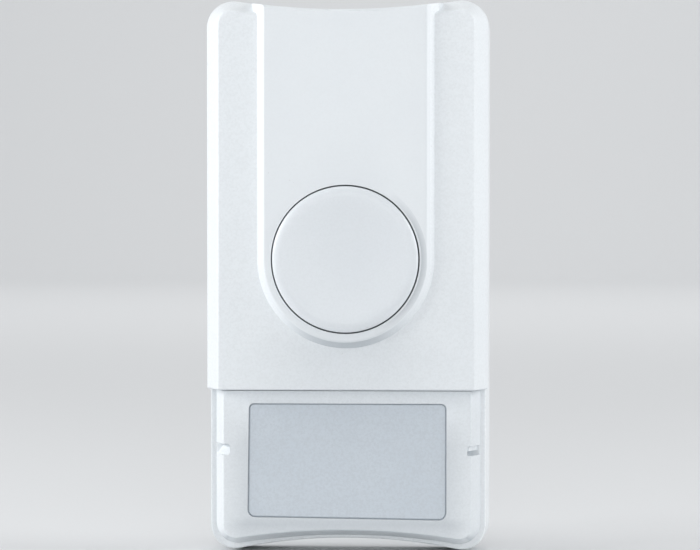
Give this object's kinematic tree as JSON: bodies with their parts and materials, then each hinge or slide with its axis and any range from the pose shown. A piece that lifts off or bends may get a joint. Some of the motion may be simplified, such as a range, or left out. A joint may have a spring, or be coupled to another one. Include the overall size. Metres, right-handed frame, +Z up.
{
  "type": "doorbell push",
  "caption": "Wall-mounted battery doorbell push: rear housing, front cover with a raised U panel and a round sprung button, and a pull-off name cover with a frosted window.",
  "frame": {"origin": "middle of the flat back of the rear housing, where it lies on the wall", "axes": "+X to the right and +Z up seen from the front; -Y is the way the button faces, +Y is into the wall"},
  "size_m": [0.0424, 0.017, 0.0828],
  "materials": {
    "case_plastic": "satin white, finely textured",
    "button_plastic": "satin white",
    "housing_plastic": "satin white",
    "window_plastic": "frosted, translucent",
    "card": "matt, blank",
    "natural_plastic": "matt, uncoloured",
    "seal": "matt, dark",
    "boot": "matt, translucent grey",
    "steel": "zinc plated",
    "spring_steel": "bright drawn",
    "contact_metal": "nickel plated",
    "board": "green lacquer with copper tracks",
    "black_mould": "matt black",
    "can_metal": "drawn, bright",
    "copper": "bare copper wire",
    "ceramic_part": "matt, tan",
    "cell_jacket": "printed foil jacket without lettering"
  },
  "bodies": {
    "housing": {"rear_housing": "housing_plastic", "housing_gasket": "seal", "front_cover": "case_plastic", "cover_screw": "steel", "return_spring": "spring_steel", "guide_plate": "natural_plastic", "guide_plate_screws": "steel", "switch_boot": "boot", "boot_clip": "natural_plastic", "circuit_board": "board", "board_screws": "steel", "switch_body": "black_mould", "switch_cover_plate": "contact_metal", "switch_dome": "spring_steel", "switch_terminals": "contact_metal", "encoder_chip": "black_mould", "transmitter_chip": "black_mould", "resonator_can": "can_metal", "antenna_coil": "copper", "power_capacitor": "can_metal", "chip_resistors": "black_mould", "chip_capacitors": "ceramic_part", "code_header": "black_mould", "code_jumpers": "black_mould", "battery_cell": "cell_jacket", "battery_contact_positive": "contact_metal", "battery_contact_negative": "contact_metal", "battery_spring": "contact_metal"},
    "button": {"push_button": "button_plastic"},
    "plunger": {"switch_plunger": "black_mould"},
    "nameplate": {"name_cover": "case_plastic", "name_window": "window_plastic", "name_card": "card", "card_retainer": "natural_plastic"}
  },
  "joints": [
    {"name": "button_press", "type": "slide", "parent": "housing", "child": "button", "axis": [0, 1, 0], "range_m": [0, 0.0006], "stiffness_N_per_m": 2500, "springref_m": -0.0006, "deforming": ["return_spring", "switch_boot"]},
    {"name": "plunger_travel", "type": "slide", "parent": "housing", "child": "plunger", "axis": [0, 1, 0], "range_m": [0, 0.00024], "deforming": ["switch_dome"]},
    {"name": "name_cover_release", "type": "slide", "parent": "housing", "child": "nameplate", "axis": [0, -1, 0], "range_m": [0, 0.008]}
  ],
  "couplings": [
    {"joint": "plunger_travel", "follows": "button_press", "ratio": 0.4}
  ]
}
